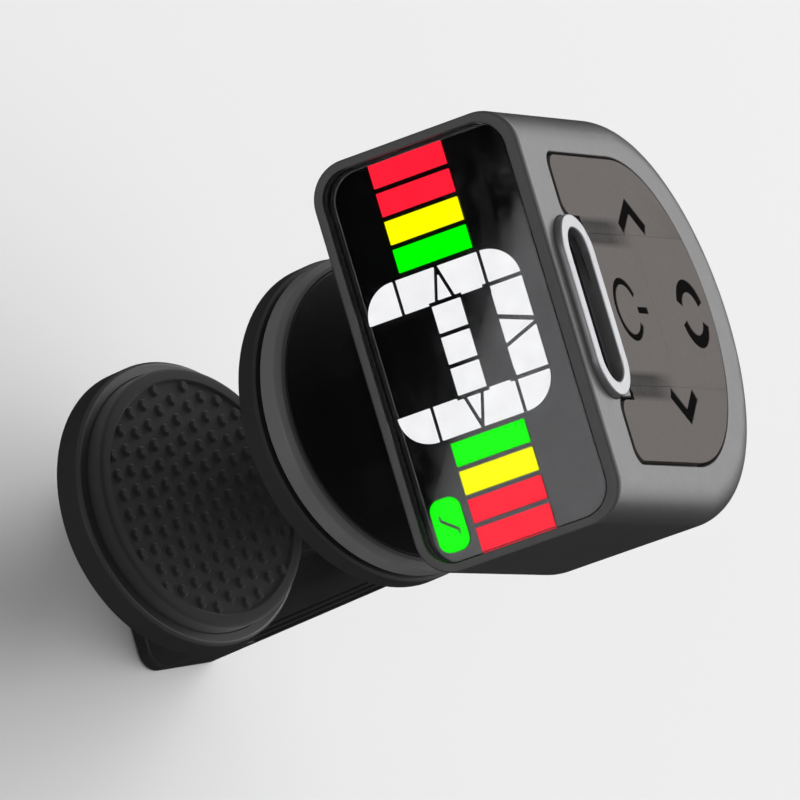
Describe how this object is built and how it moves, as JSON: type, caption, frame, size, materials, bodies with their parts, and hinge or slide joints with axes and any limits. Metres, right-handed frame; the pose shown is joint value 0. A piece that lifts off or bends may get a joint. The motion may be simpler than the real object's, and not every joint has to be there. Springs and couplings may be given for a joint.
{
  "type": "clip-on tuner",
  "caption": "Small clip-on instrument tuner: a D-shaped head with a lit display and top keys, on a tilt hinge and swivel disc over a sprung sliding clamp.",
  "frame": {"origin": "centre of the front pad's face, on the swivel axis, where it presses on the instrument's headstock", "axes": "+Z out of the headstock's face along the swivel axis, -Y towards the player on the display's side, +X to the display's right"},
  "size_m": [0.0252, 0.0321, 0.0611],
  "materials": {
    "casing_black": "satin moulded plastic",
    "casing_grey": "satin moulded plastic with a fine texture",
    "disc_grey": "satin moulded plastic",
    "face_black": "smooth black",
    "rubber": "matt soft rubber",
    "steel": "ground",
    "spring_steel": "drawn wire",
    "screw_steel": "plated",
    "screw_black": "blackened",
    "slip_plastic": "natural low-friction plastic",
    "window": "polished smoked window",
    "mask_black": "black film",
    "board_green": "solder mask",
    "lit_white": "lit segment",
    "lit_red": "lit segment",
    "lit_yellow": "lit segment",
    "lit_green": "lit segment",
    "keypad": "satin silicone rubber",
    "switch_metal": "stamped",
    "bright_metal": "polished",
    "socket_black": "moulded",
    "chip_black": "moulded",
    "battery_foil": "laminated foil",
    "brass": "sheet",
    "ceramic": "silvered ceramic"
  },
  "bodies": {
    "clamp": {"clamp_frame": "casing_black", "front_pad": "rubber", "guide_rod": "steel", "jaw_spring": "spring_steel", "post_cover": "casing_black", "cover_screws": "screw_steel", "end_cap": "casing_black", "swivel_post": "steel", "swivel_screw": "screw_steel", "spring_washer": "spring_steel", "friction_ring": "slip_plastic"},
    "rear_jaw": {"rear_jaw": "casing_black", "rear_pad": "rubber"},
    "turntable": {"turntable": "disc_grey", "turntable_cover": "face_black", "hinge_pin": "steel", "hinge_washers": "slip_plastic"},
    "head": {"head_shell": "casing_grey", "base_plate": "casing_black", "base_screws": "screw_black", "display_window": "window", "display_mask": "mask_black", "display_panel": "board_green", "letter_segments": "lit_white", "red_bars": "lit_red", "yellow_bars": "lit_yellow", "green_bars": "lit_green", "status_mark": "lit_green", "tact_switches": "switch_metal", "port_trim": "bright_metal", "usb_shell": "bright_metal", "usb_tongue": "socket_black", "main_board": "board_green", "board_chips": "chip_black", "board_screws": "screw_steel", "battery": "battery_foil", "piezo_disc": "brass", "piezo_ceramic": "ceramic"},
    "key_left": {"key_left": "keypad"},
    "key_right": {"key_right": "keypad"},
    "key_power": {"key_power": "keypad"},
    "key_mode": {"key_mode": "keypad"}
  },
  "joints": [
    {"name": "swivel", "type": "hinge", "parent": "clamp", "child": "turntable", "pos_m": [0, 0, 0.00285], "axis": [0, 0, 1], "continuous": true},
    {"name": "tilt", "type": "hinge", "parent": "turntable", "child": "head", "pos_m": [0, 0, 0.007], "axis": [1, 0, 0], "range_deg": [-6, 42]},
    {"name": "jaw_slide", "type": "slide", "parent": "clamp", "child": "rear_jaw", "axis": [0, 0, -1], "range_m": [0, 0.0085], "stiffness_N_per_m": 250, "springref_m": -0.006, "deforming": ["jaw_spring"]},
    {"name": "key_left_press", "type": "slide", "parent": "head", "child": "key_left", "axis": [0, -0.3746, -0.9272], "range_m": [0, 0.0004], "stiffness_N_per_m": 900, "springref_m": -0.0003},
    {"name": "key_right_press", "type": "slide", "parent": "head", "child": "key_right", "axis": [0, -0.3746, -0.9272], "range_m": [0, 0.0004], "stiffness_N_per_m": 900, "springref_m": -0.0003},
    {"name": "key_power_press", "type": "slide", "parent": "head", "child": "key_power", "axis": [0, -0.3746, -0.9272], "range_m": [0, 0.0004], "stiffness_N_per_m": 900, "springref_m": -0.0003},
    {"name": "key_mode_press", "type": "slide", "parent": "head", "child": "key_mode", "axis": [0, -0.3746, -0.9272], "range_m": [0, 0.0004], "stiffness_N_per_m": 900, "springref_m": -0.0003}
  ]
}
